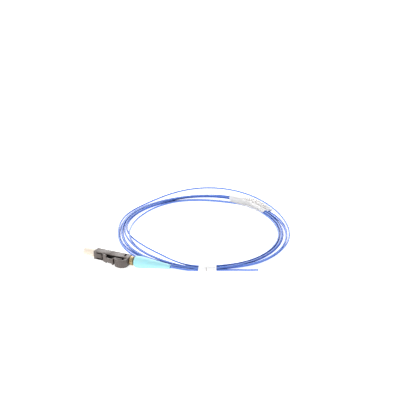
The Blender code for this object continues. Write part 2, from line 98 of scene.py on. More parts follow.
# Worked out as in the part
HALF_WIDTH = HOUSING_WIDTH / 2
LATCH_SIDE = -HOUSING_HEIGHT / 2
REAR_CAP_FRONT = HOUSING_LENGTH + TOUCH_GAP
REAR_CAP_REAR = REAR_CAP_FRONT + REAR_CAP_LENGTH
COLLAR_FRONT = REAR_CAP_REAR + TOUCH_GAP
COLLAR_REAR = COLLAR_FRONT + COLLAR_LENGTH
BOOT_FRONT = COLLAR_REAR + TOUCH_GAP
CAP_FRONT = -TOUCH_GAP - CAP_GRIP_LENGTH
BOOT_REST = BOOT_FRONT + BOOT_SHOULDER
CAP_REST = CAP_FRONT + CAP_DOME
TILT = math.atan((BOOT_DIAMETER - CAP_GRIP_DIAMETER) / 2 / (BOOT_REST - CAP_REST))
BOOT_TIP_X = BOOT_FRONT + BOOT_LENGTH * math.cos(BOOT_TURN)
BOOT_SIDE_Y = BOOT_DIAMETER / 2 * math.cos(BOOT_TURN) + (BOOT_SHOULDER + BOOT_STRAIGHT) * math.sin(BOOT_TURN)
PLUG_X = -(CAP_FRONT + BOOT_TIP_X) / 2
PLUG_Y = (HOUSING_HEIGHT / 2 + TRIGGER_PROUD - BOOT_SIDE_Y) / 2
PLUG_Z = BOOT_DIAMETER / 2 * math.cos(TILT) - BOOT_REST * math.sin(TILT)
PLUG = Matrix.Translation((PLUG_X, PLUG_Y, PLUG_Z)) @ Matrix.Rotation(-TILT, 4, "Y")
BOOT = PLUG @ Matrix.Translation((BOOT_FRONT, 0, 0)) @ Matrix.Rotation(BOOT_TURN, 4, "Z")
TIE_DIRECTION = Vector((math.cos(math.radians(TIE_ANGLE)), math.sin(math.radians(TIE_ANGLE)), 0))
TIE_POINT = Vector((PLUG_X + TIE_PLACE[0], PLUG_Y + TIE_PLACE[1], 0))
COIL_CENTRE = TIE_POINT - TIE_DIRECTION * (COIL_RADIUS + TIE_OFFSET)
LUG_FRONT = NOSE_BLOCK_LENGTH + LATCH_SLOT
LUG_REAR = LUG_FRONT + LUG_LENGTH
TRIGGER_FRONT = REAR_CAP_REAR - TRIGGER_LENGTH
TAIL_FRONT = TRIGGER_FRONT - LATCH_TO_TRIGGER
TAIL_REAR = TAIL_FRONT + TAIL_LENGTH

# Where the camera stands
CAMERA_ELEVATION = math.radians(25.0)
CAMERA_YAW = math.radians(26.3)
CAMERA_DISTANCE = 0.646
PICTURE_SIDE = 400
METRES_A_PIXEL = 0.00056
VIEW_CENTRE_PIXEL = (205.0, 232.0)
NOSE_FROM_VIEW_CENTRE = Vector((-0.05845, -0.0301, 0))
VIEW_DIRECTION = math.pi / 2 + CAMERA_YAW
SENSOR_WIDTH = 36
CLIP_START = 0.01

# What is left here of the gap that the solids keep between pieces
SHELL_GAP = TOUCH_GAP / 3
SEATED_GAP = TOUCH_GAP / 2

# Details of the housing that only this script makes
EDGE_ROUND = 0.2 * MM
EDGE_SEGMENTS = 3
EDGE_ANGLE = math.radians(28)
BORE_SIDES = 32
NOSE_BORE_DEPTH = 4.0 * MM
GROOVE_WIDTH = 0.6 * MM
GROOVE_DEPTH = 1.2 * MM
GROOVE_FRONT = 1.8 * MM
RECESS_DEPTH = 1.15 * MM
SEAM_PLACE = 9.8 * MM
SEAM_WIDTH = 0.12 * MM
SEAM_DEPTH = 0.07 * MM
NOTCH_FRONT = 0.75 * MM
NOTCH_BEYOND = 0.05 * MM
NOTCH_DEPTH = 1.0 * MM
NOTCH_SIDES = (-0.5 * MM, 1.75 * MM)
# Faces whose middle lies deeper than this inside the housing's outside get its painted shade
SKIN_DEPTH = 0.25 * MM

# Details of the latch and the trigger
NECK_SUNK = 0.45 * MM
NECK_WIDTH = 1.4 * MM
LEVER_WIDTH = 2.4 * MM
LEVER_PROUD = 3.25 * MM
LEVER_MIDDLE_SHARE = 0.87
LEVER_BEND = 0.1 * MM
TAIL_WIDTH = 3.6 * MM
ROOT_SUNK = 0.1 * MM
RIB_DEPTH = 0.15 * MM
# Steps of the trigger's arch: in each half, from rib to rib, in the dip between, and bare at its two ends
ARCH_STEPS = 26
RIB_PITCH = 6
RIB_DIP = 3
RIBS_BARE = (6, 8)

# Details of the turned pieces
DOME_STEPS = 12
STEM_IN_HOUSING = 2.0 * MM
COLLAR_EDGE = 0.4 * MM
COLLAR_GROOVE = 0.12 * MM
CAP_RIM = 0.2 * MM
BOOT_SIDES = 72
BOOT_MOUTH = 0.85 * MM
BOOT_MOUTH_DEPTH = 1.5 * MM
BOOT_LIP = 0.25 * MM
# The boot's rounded tip, in shares of BOOT_LIP: back from its end, and past its radius
BOOT_LIP_SHAPE = ((1, 1 / 6), (1 / 3, -1 / 12), (0, -1 / 2))

# Details of the tie: its painted fold shadow and its flap are placed in shares of its width, its mesh in
# steps along and round
TIE_FOLD_SHADOW = 0.44
TIE_FLAP = (0.45, 0.66)
TIE_FLAP_RISE = 0.12 * MM
TIE_HALF = 2.25 * MM
TIE_TOP = 3.05 * MM
TIE_OUTWARD = 0.05625 * MM
TIE_BOXINESS = 0.6
TIE_ASKEW = -0.2
TIE_RIPPLE = 0.03 * MM
TIE_RIPPLES_ROUND = 5
TIE_RIPPLE_TWIST = 9
TIE_MESH = (48, 64)
FILM = 0.2 * MM
FILM_OFF_FLOOR = FILM / 10

# Looks: the reach and shares of the shade painted into hollows, the drift of colour and gloss, and windows on
# the films
HOLLOW_SHADE_REACH = 4.0 * MM
HOLLOW_SHADE_SHARES = (0.5, 0.84)
DRIFT_SCALE = 260
GLOSS_DRIFT = (-0.06, 0.08)
# Where the tie's painted fold shadow lies: its soft edges and spread along the tie, and its span round it
FOLD_SHADOW_EDGE = 0.005
FOLD_SHADOW_SPREAD = 0.03
FOLD_SHADOW_AROUND = (0.2, 0.5, 0.55, 0.7)
MARKS_ALONG = (0.08, 0.14, 0.6, 0.75)
MARKS_AROUND = (0.02, 0.04, 0.24, 0.33)
MARK_STRETCH = (34.0, 15.0, 1.0)
MARK_STROKES = (0.47, 0.53)
MARK_ROW = 0.035
MARK_LINES = (0.008, 0.014)
CLEAR_BAND = (0.43, 0.48, 0.6, 0.66)


# Materials

def principled(name, colour, roughness):
    """A new material with its shader, node tree and object coordinates."""
    made = bpy.data.materials.new(name)
    made.use_nodes = True
    tree = made.node_tree
    shader = tree.nodes["Principled BSDF"]
    shader.inputs["Base Color"].default_value = (*colour, 1.0)
    shader.inputs["Roughness"].default_value = roughness
    place = tree.nodes.new("ShaderNodeTexCoord").outputs["Object"]
    return made, tree, shader, place


def noise(tree, place, scale, detail=3.0):
    node = tree.nodes.new("ShaderNodeTexNoise")
    node.inputs["Scale"].default_value = scale
    node.inputs["Detail"].default_value = detail
    tree.links.new(place, node.inputs["Vector"])
    return node.outputs["Fac"]


def remap(tree, value, low, high, start=0.3, end=0.7):
    """The value from start to end, spread from low to high."""
    node = tree.nodes.new("ShaderNodeMapRange")
    node.inputs["From Min"].default_value = start
    node.inputs["From Max"].default_value = end
    node.inputs["To Min"].default_value = low
    node.inputs["To Max"].default_value = high
    tree.links.new(value, node.inputs["Value"])
    return node.outputs["Result"]


def mix_colour(tree, share, first, second):
    node = tree.nodes.new("ShaderNodeMix")
    node.data_type = "RGBA"
    tree.links.new(share, node.inputs["Factor"])
    for socket, colour in ((node.inputs[6], first), (node.inputs[7], second)):
        if isinstance(colour, tuple):
            socket.default_value = (*colour, 1.0)
        else:
            tree.links.new(colour, socket)
    return node.outputs[2]


def bump(tree, shader, height, distance, strength=1.0):
    node = tree.nodes.new("ShaderNodeBump")
    node.inputs["Distance"].default_value = distance
    node.inputs["Strength"].default_value = strength
    tree.links.new(height, node.inputs["Height"])
    tree.links.new(node.outputs["Normal"], shader.inputs["Normal"])


def moulded(name, colour, shade, painted_hollow_shade, reach, roughness, grain, depth):
    """Moulded plastic: a fine grain, a slight drift of colour and of gloss, and shade painted into its deep
    hollows.
    """
    made, tree, shader, place = principled(name, colour, roughness)
    drift = remap(tree, noise(tree, place, DRIFT_SCALE), 0, 1)
    # Painted shade: the base colour is darkened towards the hollow colour where ambient occlusion finds the
    # surface hemmed in
    openness = tree.nodes.new("ShaderNodeAmbientOcclusion")
    openness.only_local = True
    openness.inputs["Distance"].default_value = reach
    share = remap(tree, openness.outputs["AO"], 1, 0, *HOLLOW_SHADE_SHARES)
    surface = mix_colour(tree, drift, colour, shade)
    tree.links.new(mix_colour(tree, share, surface, painted_hollow_shade), shader.inputs["Base Color"])
    fine = noise(tree, place, grain, 4)
    gloss = remap(tree, fine, roughness + GLOSS_DRIFT[0], roughness + GLOSS_DRIFT[1])
    tree.links.new(gloss, shader.inputs["Roughness"])
    bump(tree, shader, fine, depth)
    return made, shader


def scatter(shader, weight, radius):
    """Lets light into the surface and out again, as far as radius for its red, green and blue."""
    shader.inputs["Subsurface Weight"].default_value = weight
    shader.inputs["Subsurface Radius"].default_value = radius
    shader.inputs["Subsurface Scale"].default_value = 1.0


def black_plastic():
    # Its hollow colour is painted shade for the plug's recesses and gaps
    return moulded(
        "black_moulding", colour=(0.126, 0.1, 0.09), shade=(0.108, 0.086, 0.077),
        painted_hollow_shade=(0.004, 0.003, 0.003), reach=HOLLOW_SHADE_REACH, roughness=0.4, grain=4200, depth=0.00002,
    )[0]


# A darker, duller copy of the black moulding: painted shade for the faces inside the housing
def painted_shade_plastic():
    return moulded(
        "black_moulding_painted_shade", colour=(0.014, 0.011, 0.01), shade=(0.01, 0.008, 0.007),
        painted_hollow_shade=(0.003, 0.002, 0.002), reach=HOLLOW_SHADE_REACH, roughness=0.75, grain=4200, depth=0.00002,
    )[0]


def aqua_rubber():
    # Its hollow colour is painted shade, the dark teal of the boot's mouth and bore
    made, shader = moulded(
        "aqua_boot_rubber", colour=(0.4, 0.76, 0.82), shade=(0.36, 0.73, 0.8), painted_hollow_shade=(0.01, 0.09, 0.14),
        reach=HOLLOW_SHADE_REACH, roughness=0.5, grain=2600, depth=0.000015,
    )
    scatter(shader, 0.25, (0.0006, 0.0012, 0.0014))
    return made


def cap_plastic():
    # Its hollow colour is painted shade in the cap's bore
    made, shader = moulded(
        "cap_natural_plastic", colour=(0.79, 0.7, 0.6), shade=(0.77, 0.67, 0.55), painted_hollow_shade=(0.65, 0.5, 0.35),
        reach=HOLLOW_SHADE_REACH, roughness=0.35, grain=1800, depth=0.00001,
    )
    scatter(shader, 0.3, (0.002, 0.002, 0.002))
    return made


def fibre_plastic():
    # Its hollow colour is painted shade where strands lie close together
    made, shader = moulded(
        "buffer_jacket", colour=(0.125, 0.245, 0.69), shade=(0.1, 0.205, 0.63), painted_hollow_shade=(0.02, 0.06, 0.3),
        reach=2 * FIBRE_DIAMETER, roughness=0.34, grain=3000, depth=0.000006,
    )
    scatter(shader, 0.15, (0.0002, 0.0003, 0.0006))
    shader.inputs["Coat Weight"].default_value = 0.2
    return made


def brass():
    made, tree, shader, place = principled("turned_brass", (0.72, 0.59, 0.33), 0.34)
    shader.inputs["Metallic"].default_value = 1.0
    turned = tree.nodes.new("ShaderNodeTexWave")
    turned.inputs["Scale"].default_value = 1500
    turned.inputs["Distortion"].default_value = 1.5
    tree.links.new(place, turned.inputs["Vector"])
    tree.links.new(remap(tree, noise(tree, place, 900), 0.26, 0.44), shader.inputs["Roughness"])
    tarnish = remap(tree, noise(tree, place, 420), 0, 1)
    colour = mix_colour(tree, tarnish, (0.47, 0.36, 0.2), (0.37, 0.27, 0.14))
    tree.links.new(colour, shader.inputs["Base Color"])
    bump(tree, shader, turned.outputs["Fac"], 0.000008)
    return made


def zirconia():
    made, tree, shader, place = principled("zirconia_ceramic", (0.93, 0.92, 0.89), 0.12)
    tree.links.new(remap(tree, noise(tree, place, 2200), 0.08, 0.18), shader.inputs["Roughness"])
    return made


def product(tree, first, second):
    node = tree.nodes.new("ShaderNodeMath")
    node.operation = "MULTIPLY"
    tree.links.new(first, node.inputs[0])
    tree.links.new(second, node.inputs[1])
    return node.outputs["Value"]


def window(tree, value, start, rise, fall, end):
    """1 between rise and fall, 0 outside start and end."""
    return product(tree, remap(tree, value, 0, 1, start, rise), remap(tree, value, 1, 0, fall, end))


def surface_places(tree):
    """Where a point lies along a sleeve and round it, both from 0 to 1, from the mesh's own UVs."""
    split = tree.nodes.new("ShaderNodeSeparateXYZ")
    tree.links.new(tree.nodes.new("ShaderNodeUVMap").outputs["UV"], split.inputs["Vector"])
    return split.outputs["X"], split.outputs["Y"]


def see_through(shader):
    """Thin white film passes some of the light that falls on it."""
    scatter(shader, 0.7, (0.0006, 0.0006, 0.0006))


def tie_film():
    """White film with a painted shadow along the edge of its fold, on the side that faces outwards."""
    white = (0.98, 0.98, 0.98)
    made, tree, shader, place = principled("tie_film", white, 0.45)
    along, around = surface_places(tree)
    fold_shadow_band = window(
        tree, along, TIE_FOLD_SHADOW - FOLD_SHADOW_SPREAD, TIE_FOLD_SHADOW - FOLD_SHADOW_EDGE,
        TIE_FOLD_SHADOW + FOLD_SHADOW_EDGE, TIE_FOLD_SHADOW + FOLD_SHADOW_SPREAD,
    )
    # Painted shadow: the fold's band, on the outward side only, is darkened to a brown-grey line beside the
    # flap's lifted edge
    shade = product(tree, fold_shadow_band, window(tree, around, *FOLD_SHADOW_AROUND))
    tree.links.new(mix_colour(tree, shade, white, (0.25, 0.2, 0.19)), shader.inputs["Base Color"])
    crease = noise(tree, place, 520, 5)
    tree.links.new(remap(tree, crease, 0.35, 0.6), shader.inputs["Roughness"])
    bump(tree, shader, crease, 0.00012, 0.5)
    see_through(shader)
    return made


def label_film():
    """White film with faint generic marks on its raised half and a clearer band along its lower edge."""
    white = (0.98, 0.97, 0.965)
    made, tree, shader, place = principled("label_film_white", white, 0.4)
    along, around = surface_places(tree)
    stretch = tree.nodes.new("ShaderNodeMapping")
    stretch.inputs["Scale"].default_value = MARK_STRETCH
    tree.links.new(tree.nodes.new("ShaderNodeUVMap").outputs["UV"], stretch.inputs["Vector"])
    strokes = remap(tree, noise(tree, stretch.outputs["Vector"], 1.0, 2), 0, 1, *MARK_STROKES)
    rows = tree.nodes.new("ShaderNodeMath")
    rows.operation = "PINGPONG"
    rows.inputs[1].default_value = MARK_ROW
    tree.links.new(around, rows.inputs[0])
    lines = remap(tree, rows.outputs["Value"], 0, 1, *MARK_LINES)
    printed = product(tree, window(tree, along, *MARKS_ALONG), window(tree, around, *MARKS_AROUND))
    marks = product(tree, product(tree, strokes, lines), printed)
    tree.links.new(mix_colour(tree, marks, white, (0.33, 0.28, 0.26)), shader.inputs["Base Color"])
    clear = window(tree, around, *CLEAR_BAND)
    tree.links.new(remap(tree, clear, 1.0, 0.5, 0, 1), shader.inputs["Alpha"])
    bump(tree, shader, noise(tree, place, 380, 3), 0.00008, 0.5)
    see_through(shader)
    return made


# Mesh helpers

def mesh_from(build):
    bm = bmesh.new()
    build(bm)
    bmesh.ops.recalc_face_normals(bm, faces=bm.faces)
    mesh = bpy.data.meshes.new("mesh")
    bm.to_mesh(mesh)
    bm.free()
    return mesh


def slab_mesh(outline, low, high):
    """A flat outline in x and y, from low to high along z."""
    def build(bm):
        face = bm.faces.new([bm.verts.new((x, y, low)) for x, y in outline])
        grown = bmesh.ops.extrude_face_region(bm, geom=[face])
        moved = [part for part in grown["geom"] if isinstance(part, bmesh.types.BMVert)]
        bmesh.ops.translate(bm, vec=(0, 0, high - low), verts=moved)
    return mesh_from(build)


def box_mesh(low, high):
    outline = ((low[0], low[1]), (high[0], low[1]), (high[0], high[1]), (low[0], high[1]))
    return slab_mesh(outline, low[2], high[2])


def turned_mesh(profile, segments=64):
    """A closed profile of (x, radius) points, turned about the x axis."""
    def build(bm):
        rings = []
        for step in range(segments):
            angle = 2 * math.pi * step / segments
            ring = []
            for x, radius in profile:
                if radius == 0 and rings:
                    ring.append(rings[0][len(ring)])
                else:
                    ring.append(bm.verts.new((x, radius * math.cos(angle), radius * math.sin(angle))))
            rings.append(ring)
        for step in range(segments):
            here = rings[step]
            there = rings[(step + 1) % segments]
            for i in range(len(profile)):
                j = (i + 1) % len(profile)
                corners = []
                for vert in (here[i], here[j], there[j], there[i]):
                    if vert not in corners:
                        corners.append(vert)
                if len(corners) > 2:
                    bm.faces.new(corners)
    return mesh_from(build)


def arc(centre, radius, start, end, steps):
    """Points on an arc from start to end degrees."""
    points = []
    for step in range(steps + 1):
        angle = math.radians(start + (end - start) * step / steps)
        points.append((centre[0] + radius * math.cos(angle), centre[1] + radius * math.sin(angle)))
    return points


def carved(mesh, cutters=(), additions=(), round_edges=EDGE_ROUND):
    """The mesh with others cut out of it or added to it and its edges rounded."""
    helpers = []
    item = bpy.data.objects.new("carving", mesh)
    bpy.context.scene.collection.objects.link(item)
    for operation, others in (("UNION", additions), ("DIFFERENCE", cutters)):
        for other in others:
            helper = bpy.data.objects.new("carving_tool", other)
            bpy.context.scene.collection.objects.link(helper)
            helpers.append(helper)
            boolean = item.modifiers.new("boolean", "BOOLEAN")
            boolean.operation = operation
            boolean.solver = "EXACT"
            boolean.object = helper
    rounding = item.modifiers.new("rounding", "BEVEL")
    rounding.width = round_edges
    rounding.segments = EDGE_SEGMENTS
    rounding.limit_method = "ANGLE"
    rounding.angle_limit = EDGE_ANGLE
    rounding.harden_normals = True
    made = bpy.data.meshes.new_from_object(item.evaluated_get(bpy.context.evaluated_depsgraph_get()))
    for helper in helpers + [item]:
        bpy.data.objects.remove(helper, do_unlink=True)
    return made


def add_piece(name, mesh, matrix, finish, body, slot, *nodes, smooth=40):
    """Puts a mesh into the scene as a piece that rides on a body and stands for the CAD nodes."""
    mesh.transform(matrix)
    mesh.materials.clear()
    mesh.materials.append(finish)
    piece = bpy.data.objects.new(name, mesh)
    bpy.context.scene.collection.objects.link(piece)
    mesh.shade_smooth()
    mesh.set_sharp_from_angle(angle=math.radians(smooth))
    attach(piece, body)
    if nodes:
        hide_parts(*nodes)
    return piece


# Plug

def add_housing(finish, painted_shade_finish):
    """The shell, with painted shade (a darker, duller copy of its plastic) on the faces in its recess,
    grooves and bore.
    """
    channel_half = HALF_WIDTH - CHANNEL_WALL
    body = box_mesh((0, LATCH_SIDE, -HALF_WIDTH), (HOUSING_LENGTH, -LATCH_SIDE, HALF_WIDTH))
    cutters = [
        box_mesh(
            (NOSE_BLOCK_LENGTH, LATCH_SIDE - RECESS_DEPTH, -channel_half),
            (HOUSING_LENGTH + RECESS_DEPTH, LATCH_SIDE + RECESS_DEPTH, channel_half),
        ),
        turned_mesh((
            (-TOUCH_GAP, 0), (-TOUCH_GAP, NOSE_BORE_DIAMETER / 2),
            (NOSE_BORE_DEPTH, NOSE_BORE_DIAMETER / 2), (NOSE_BORE_DEPTH, 0),
        ), BORE_SIDES),
        box_mesh(
            (HOUSING_LENGTH - NOTCH_FRONT, NOTCH_SIDES[0], HALF_WIDTH - NOTCH_DEPTH),
            (HOUSING_LENGTH + NOTCH_BEYOND, NOTCH_SIDES[1], HALF_WIDTH + NOTCH_DEPTH),
        ),
    ]
    for side in (-1, 1):
        middle = side * (channel_half - GROOVE_WIDTH / 2)
        cutters.append(box_mesh(
            (GROOVE_FRONT, LATCH_SIDE - GROOVE_DEPTH, middle - GROOVE_WIDTH / 2),
            (NOSE_BLOCK_LENGTH + GROOVE_DEPTH, LATCH_SIDE + GROOVE_DEPTH, middle + GROOVE_WIDTH / 2),
        ))
        near = side * HALF_WIDTH
        cutters.append(box_mesh(
            (SEAM_PLACE, -HOUSING_HEIGHT, near - SEAM_DEPTH),
            (SEAM_PLACE + SEAM_WIDTH, HOUSING_HEIGHT, near + SEAM_DEPTH),
        ))
    mesh = carved(body, cutters)
    shell = add_piece("housing_shell", mesh, PLUG, finish, "plug", "black_plastic", "plug_housing")
    # The second material is painted shade, put on the faces that lie inside the shell's skin
    shell.data.materials.append(painted_shade_finish)
    to_plug = PLUG.inverted()
    for face in shell.data.polygons:
        middle = to_plug @ face.center
        within_ends = SKIN_DEPTH < middle.x < HOUSING_LENGTH - SKIN_DEPTH
        within_sides = abs(middle.y) < -LATCH_SIDE - SKIN_DEPTH and abs(middle.z) < HALF_WIDTH - SKIN_DEPTH
        if within_ends and within_sides:
            face.material_index = 1
    return shell


def add_rear_cap(finish):
    front = HOUSING_LENGTH + SHELL_GAP
    post_front = REAR_CAP_REAR - REAR_CAP_PROUD
    outline = (
        (front, LATCH_SIDE), (post_front, LATCH_SIDE),
        (post_front, LATCH_SIDE - REAR_CAP_PROUD), (REAR_CAP_REAR, LATCH_SIDE - REAR_CAP_PROUD),
        (REAR_CAP_REAR, -LATCH_SIDE), (front, -LATCH_SIDE),
    )
    bore = turned_mesh((
        (HOUSING_LENGTH, 0), (HOUSING_LENGTH, STEM_DIAMETER / 2 + TOUCH_GAP),
        (REAR_CAP_REAR + TOUCH_GAP, STEM_DIAMETER / 2 + TOUCH_GAP), (REAR_CAP_REAR + TOUCH_GAP, 0),
    ), BORE_SIDES)
    mesh = carved(slab_mesh(outline, -HALF_WIDTH, HALF_WIDTH), [bore])
    return add_piece("rear_cap_shell", mesh, PLUG, finish, "plug", "black_plastic", "rear_cap")


def from_latch_side(outline):
    """Points of (x, how proud of the housing's latch side) as (x, y)."""
    return [(x, LATCH_SIDE - proud) for x, proud in outline]


def add_latch(finish):
    """A sunk neck, two lug wings, a narrow lever and a wide tail, moulded in one."""
    skin = LATCH_THICKNESS
    lever_rear = TAIL_FRONT - LEVER_BEND
    lever_middle = (LUG_REAR + lever_rear) / 2
    rise = LEVER_PROUD * LEVER_MIDDLE_SHARE
    neck_front = NOSE_BLOCK_LENGTH - SEATED_GAP
    neck_under = -NECK_SUNK - NECK_THICKNESS
    neck = from_latch_side((
        (neck_front, neck_under), (neck_front, -NECK_SUNK),
        (LUG_FRONT + skin, -NECK_SUNK), (LUG_FRONT + skin, neck_under),
    ))
    lug = from_latch_side((
        (LUG_FRONT, TOUCH_GAP), (LUG_FRONT, 2 * TOUCH_GAP),
        (LUG_REAR, LUG_PROUD), (LUG_REAR, LUG_PROUD - skin),
    ))
    lever = from_latch_side((
        (LUG_FRONT, neck_under), (LUG_FRONT, 2 * TOUCH_GAP), (LUG_REAR, LUG_PROUD),
        (lever_middle - skin, rise), (lever_rear, LEVER_PROUD), (lever_rear, LEVER_PROUD - skin),
        (lever_middle - skin, rise - skin), (LUG_REAR, LUG_PROUD - skin), (LUG_FRONT + skin, neck_under),
    ))
    tail = from_latch_side((
        (lever_rear - skin, LEVER_PROUD - skin), (lever_rear - skin, LEVER_PROUD), (lever_rear, LEVER_PROUD),
        (TAIL_FRONT, TAIL_PROUD), (TAIL_REAR, TAIL_PROUD), (TAIL_REAR, TAIL_PROUD - skin),
        (TAIL_FRONT - skin / 2, TAIL_PROUD - skin), (lever_rear - skin / 2, LEVER_PROUD - skin),
    ))
    additions = [
        slab_mesh(neck, -NECK_WIDTH / 2, NECK_WIDTH / 2), slab_mesh(lug, -HALF_WIDTH, HALF_WIDTH),
        slab_mesh(tail, -TAIL_WIDTH / 2, TAIL_WIDTH / 2),
    ]
    arm = slab_mesh(lever, -LEVER_WIDTH / 2, LEVER_WIDTH / 2)
    mesh = carved(arm, additions=additions, round_edges=EDGE_ROUND / 2)
    return add_piece("latch_lever", mesh, PLUG, finish, "latch", "black_plastic", "latch_arm")


def add_trigger(finish):
    """The arch over the latch's tail, with fine grip ribs across its outside."""
    crown_x = TRIGGER_FRONT + TRIGGER_CROWN
    root_proud = REAR_CAP_PROUD - ROOT_SUNK
    steps = ARCH_STEPS * 2

    def arch(inset, rib):
        points = []
        for step in range(steps + 1):
            turn = math.pi * step / steps
            ribbed = step % RIB_PITCH > RIB_DIP and RIBS_BARE[0] < step < steps - RIBS_BARE[1]
            front = turn < math.pi / 2
            reach = (TRIGGER_CROWN if front else REAR_CAP_REAR - crown_x) - inset
            base = TRIGGER_TIP_PROUD if front else root_proud
            rise = TRIGGER_PROUD - base - inset - (rib if ribbed else 0)
            points.append((crown_x - reach * math.cos(turn), LATCH_SIDE - base - rise * math.sin(turn)))
        return points

    outline = arch(0, RIB_DEPTH) + arch(TRIGGER_THICKNESS, 0)[::-1]
    mesh = carved(slab_mesh(outline, -HALF_WIDTH, HALF_WIDTH), round_edges=EDGE_ROUND / 2)
    return add_piece("trigger_arch", mesh, PLUG, finish, "trigger", "black_plastic", "trigger")


def add_crimp_body(finish):
    stem = STEM_DIAMETER / 2
    full = COLLAR_DIAMETER / 2
    middle = (COLLAR_FRONT + COLLAR_REAR) / 2
    stem_front = HOUSING_LENGTH - STEM_IN_HOUSING
    front = COLLAR_FRONT - SEATED_GAP
    rear = COLLAR_REAR + STEM_IN_BOOT
    profile = (
        (stem_front, 0), (stem_front, stem), (front, stem), (front, full - COLLAR_EDGE),
        (front + COLLAR_EDGE, full), (middle - COLLAR_GROOVE, full), (middle, full - COLLAR_GROOVE),
        (middle + COLLAR_GROOVE, full), (COLLAR_REAR - COLLAR_EDGE, full), (COLLAR_REAR, full - COLLAR_EDGE),
        (COLLAR_REAR, stem), (rear, stem), (rear, 0),
    )
    mesh = turned_mesh(profile)
    return add_piece("crimp_collar", mesh, PLUG, finish, "plug", "brass", "crimp_body", smooth=25)


def add_boot(finish):
    big = BOOT_DIAMETER / 2
    tip = BOOT_TIP_DIAMETER / 2
    cavity = STEM_DIAMETER / 2 + TOUCH_GAP
    bore = FIBRE_DIAMETER / 2 + TOUCH_GAP
    profile = [(0, cavity)]
    profile += arc((BOOT_SHOULDER, big - BOOT_SHOULDER), BOOT_SHOULDER, 180, 90, DOME_STEPS)
    profile += [(BOOT_SHOULDER + BOOT_STRAIGHT, big)]
    profile += [(BOOT_LENGTH - back * BOOT_LIP, tip + out * BOOT_LIP) for back, out in BOOT_LIP_SHAPE]
    profile += [
        (BOOT_LENGTH, BOOT_MOUTH), (BOOT_LENGTH - BOOT_MOUTH_DEPTH, bore),
        (STEM_IN_BOOT, bore), (STEM_IN_BOOT, cavity),
    ]
    mesh = turned_mesh(profile, BOOT_SIDES)
    return add_piece("boot_sleeve", mesh, BOOT, finish, "plug", "aqua_boot", "boot", smooth=30)


def add_dust_cap(finish):
    grip = CAP_GRIP_DIAMETER / 2
    sleeve = NOSE_BORE_DIAMETER / 2 - TOUCH_GAP
    bore = FERRULE_DIAMETER / 2 + TOUCH_GAP
    bore_end = -FERRULE_PROUD - CAP_BORE_CLEARANCE
    rear = -SEATED_GAP
    profile = [(CAP_FRONT, 0)]
    profile += arc((CAP_FRONT + CAP_DOME, grip - CAP_DOME), CAP_DOME, 180, 90, DOME_STEPS)
    profile += [
        (rear - CAP_RIM, grip), (rear, grip - CAP_RIM), (rear, sleeve),
        (CAP_SLEEVE_LENGTH, sleeve), (CAP_SLEEVE_LENGTH, bore), (bore_end, bore), (bore_end, 0),
    ]
    mesh = turned_mesh(profile)
    return add_piece("dust_cap_shell", mesh, PLUG, finish, "cap", "cap_plastic", "dust_cap", smooth=30)


# Coil

# For each angle, how far past COIL_RADIUS, in mm, its seven tracks seem to run on the floor as the camera
# sees them, from the innermost to the outermost. A track that lies higher is really nearer the camera.
TRACKS = (
    (-61, (-3.8, -4.0, -2.2, -2.2, -1.2, -0.8, 0.0)),
    (-50, (-3.4, -2.7, -2.0, -1.6, -0.3, 0.3, 1.2)),
    (-40, (-2.6, -2.0, -1.4, -0.7, 0.8, 1.4, 1.9)),
    (-30, (-2.5, -1.8, -1.1, -0.1, 1.7, 2.3, 2.8)),
    (-15, (-2.4, -1.7, -0.9, 0.1, 2.2, 2.7, 3.3)),
    (5, (-2.3, -1.5, -0.7, 0.2, 2.0, 2.5, 3.3)),
    (25, (-2.4, -1.6, -0.7, 0.3, 1.9, 2.3, 4.0)),
    (38, (-2.5, -1.7, -0.9, 0.1, 1.4, 2.5, 3.8)),
    (51, (-2.2, -1.5, -0.8, -0.1, 0.7, 2.9, 4.9)),
    (65, (-2.0, -1.3, -0.5, 0.3, 1.1, 1.9, 7.2)),
    (79, (-1.0, -0.3, 1.2, 2.0, 2.8, 3.6, 10.3)),
    (91, (-2.2, -1.6, 2.6, 3.7, 4.8, 6.0, 13.9)),
    (102, (-2.8, -2.1, 3.4, 4.3, 5.2, 6.4, 16.4)),
    (111, (-2.6, -2.0, 3.1, 3.8, 4.5, 5.3, 17.4)),
    (119, (-2.3, -1.6, 2.8, 3.4, 4.0, 4.7, 16.3)),
    (128, (-1.2, -0.5, 2.8, 3.5, 4.2, 4.7, 13.8)),
    (139, (-0.5, 0.1, 1.7, 2.5, 3.3, 4.1, 10.2)),
    (151, (-1.0, 0.9, 1.6, 2.3, 3.1, 3.9, 6.4)),
    (163, (-1.9, 1.2, 1.9, 2.6, 3.4, 4.2, 5.4)),
    (176, (-2.6, 1.1, 2.1, 2.8, 3.4, 4.1, 6.0)),
    (190, (-2.8, 0.4, 1.6, 2.2, 2.7, 3.2, 5.1)),
    (200, (-2.8, -0.1, 0.9, 1.6, 2.1, 2.6, 3.4)),
    (208, (-2.8, -1.2, 0.0, 0.9, 1.4, 2.8, 3.1)),
    (215, (-2.4, -3.9, -1.2, 0.4, 0.8, 2.8, 3.0)),
    (225, (-3.2, -6.6, -2.6, 0.2, 0.8, 2.8, 3.3)),
    (236, (-3.8, -8.1, -3.2, -0.2, 0.4, 1.6, 3.5)),
    (248, (-4.2, -9.2, -3.6, -1.2, -0.7, 0.6, 2.8)),
    (259, (-4.6, -9.0, -4.2, -1.9, -1.4, -0.3, 1.4)),
    (270, (-5.0, -7.8, -4.4, -2.4, -1.7, -0.9, 0.4)),
    (280, (-4.7, -5.8, -3.9, -2.9, -1.6, -1.3, 0.3)),
    (290, (-3.8, -4.8, -2.4, -3.4, -1.0, -2.0, 0.6)),
)
# The track that each turn follows, from the plug's end of the fibre to its free end
TRACK_OF_TURN = (5, 3, 1, 0, 2, 4, 6)
